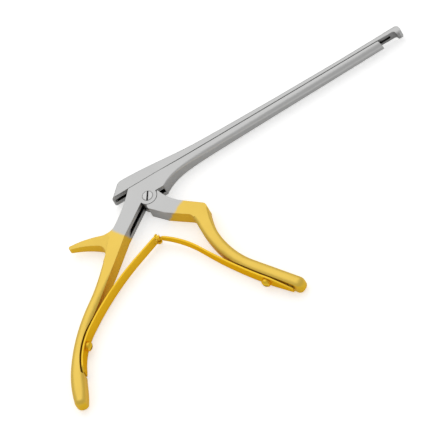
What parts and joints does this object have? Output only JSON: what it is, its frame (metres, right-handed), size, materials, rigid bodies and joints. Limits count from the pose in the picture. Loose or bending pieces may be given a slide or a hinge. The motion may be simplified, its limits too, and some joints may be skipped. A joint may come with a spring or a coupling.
{
  "type": "bone rongeur",
  "caption": "Long-shafted bone rongeur: a sliding bar with a foot plate is drawn back onto a fixed cutter when the sprung handles are squeezed.",
  "frame": {"origin": "on the front handle's pivot axis, at the side the instrument lies on", "axes": "+X along the shaft to the foot plate, +Y from the fixed bar towards the sliding bar, +Z through the thickness towards the screw's head"},
  "size_m": [0.2541, 0.1189, 0.0097],
  "materials": {
    "forging": "satin steel, gold plated below the body",
    "sliding_bar": "satin steel",
    "front_handle": "satin steel, gold plated below the tongue",
    "keys": "ground steel",
    "pivot_screw": "satin steel",
    "lever": "ground steel",
    "springs": "gold plated spring steel",
    "spring_screws": "gold plated steel"
  },
  "bodies": {
    "frame": {"fixed_shaft_and_rear_handle": "forging", "front_guide_key": "keys", "rear_guide_key": "keys", "pivot_screw": "pivot_screw", "lever_pin": "lever", "rear_spring_screw": "spring_screws", "rear_spring_peg": "spring_screws"},
    "slide": {"sliding_bar": "sliding_bar"},
    "squeeze": {"front_handle": "front_handle", "front_spring_screw": "spring_screws", "front_spring_peg": "spring_screws"},
    "lever": {"reversing_lever": "lever"},
    "rear_leaf": {"rear_leaf_spring": "springs"},
    "front_leaf": {"front_leaf_spring": "springs"}
  },
  "joints": [
    {"name": "handle_pivot", "type": "hinge", "parent": "frame", "child": "squeeze", "pos_m": [0, 0, 0.0047], "axis": [0, 0, -1], "range_deg": [0, 34], "stiffness_Nm_per_rad": 1.2, "springref_deg": -14.32, "deforming": ["rear_leaf_spring", "front_leaf_spring"]},
    {"name": "bar_slide", "type": "slide", "parent": "frame", "child": "slide", "axis": [-1, 0, 0], "range_m": [0, 0.0101]},
    {"name": "lever_turn", "type": "hinge", "parent": "frame", "child": "lever", "pos_m": [0, 0.0074, 0.0047], "axis": [0, 0, 1], "range_deg": [0, 78.38]},
    {"name": "rear_leaf_flex", "type": "hinge", "parent": "frame", "child": "rear_leaf", "pos_m": [-0.064, -0.0539, 0.0047], "axis": [0, 0, 1], "range_deg": [0, 8.4]},
    {"name": "front_leaf_flex", "type": "hinge", "parent": "squeeze", "child": "front_leaf", "pos_m": [0.0202, -0.0639, 0.0047], "axis": [0, 0, -1], "range_deg": [0, 10.2]}
  ],
  "couplings": [
    {"joint": "bar_slide", "follows": "handle_pivot", "m_per_rad": 0.01701},
    {"joint": "lever_turn", "follows": "handle_pivot", "ratio": 2.3025},
    {"joint": "rear_leaf_flex", "follows": "handle_pivot", "ratio": 0.242},
    {"joint": "front_leaf_flex", "follows": "handle_pivot", "ratio": 0.295}
  ]
}
